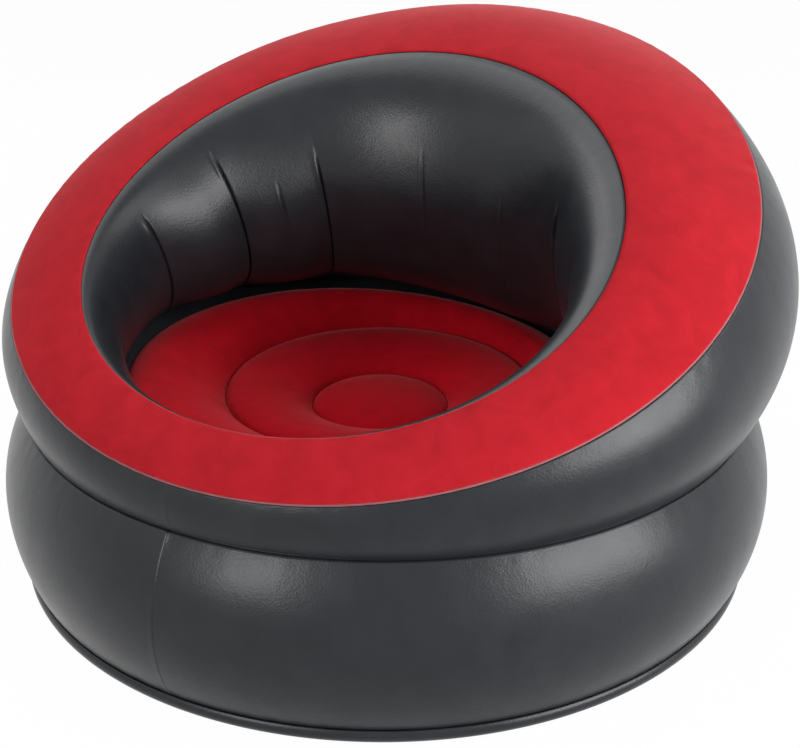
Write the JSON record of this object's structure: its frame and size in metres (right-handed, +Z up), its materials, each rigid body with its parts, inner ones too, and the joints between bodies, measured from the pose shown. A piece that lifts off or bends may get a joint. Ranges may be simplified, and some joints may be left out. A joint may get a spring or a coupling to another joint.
{
  "type": "inflatable chair",
  "caption": "Round inflatable tub chair with a drum-shaped base, a sloping ring back, a flocked band and seat, and a push-in valve at the back.",
  "frame": {"origin": "middle of the flat base sheet, on the floor", "axes": "+Z up; the low front of the ring faces -Y and the high back is toward +Y; X runs from side to side"},
  "size_m": [1.1166, 1.1736, 0.705],
  "materials": {
    "vinyl": "satin black vinyl film with a fine grain",
    "flock": "short red flock on vinyl",
    "valve_plastic": "smooth soft black plastic"
  },
  "bodies": {
    "chair": {"base_sheet": "vinyl", "lower_wall": "vinyl", "middle_sheet": "vinyl", "upper_wall": "vinyl", "top_sheet": "flock", "inner_wall": "vinyl", "seat_sheet": "flock", "seat_inner_band": "vinyl", "seat_outer_band": "vinyl", "valve_flange": "valve_plastic", "body_strap": "valve_plastic"},
    "valve_plug": {"valve_body": "valve_plastic", "cap_strap": "valve_plastic"},
    "cap": {"valve_cap": "valve_plastic"},
    "flap": {"check_flap": "valve_plastic"}
  },
  "joints": [
    {"name": "valve_body_pull", "type": "slide", "parent": "chair", "child": "valve_plug", "axis": [0, 1, 0], "range_m": [0, 0.02], "deforming": ["body_strap"]},
    {"name": "cap_pull", "type": "slide", "parent": "valve_plug", "child": "cap", "axis": [0, 1, 0], "range_m": [0, 0.01], "deforming": ["cap_strap"]},
    {"name": "check_flap_hinge", "type": "hinge", "parent": "valve_plug", "child": "flap", "pos_m": [0, 0.5518, 0.1417], "axis": [-1, 0, 0], "range_deg": [0, 60], "stiffness_Nm_per_rad": 0.002}
  ]
}
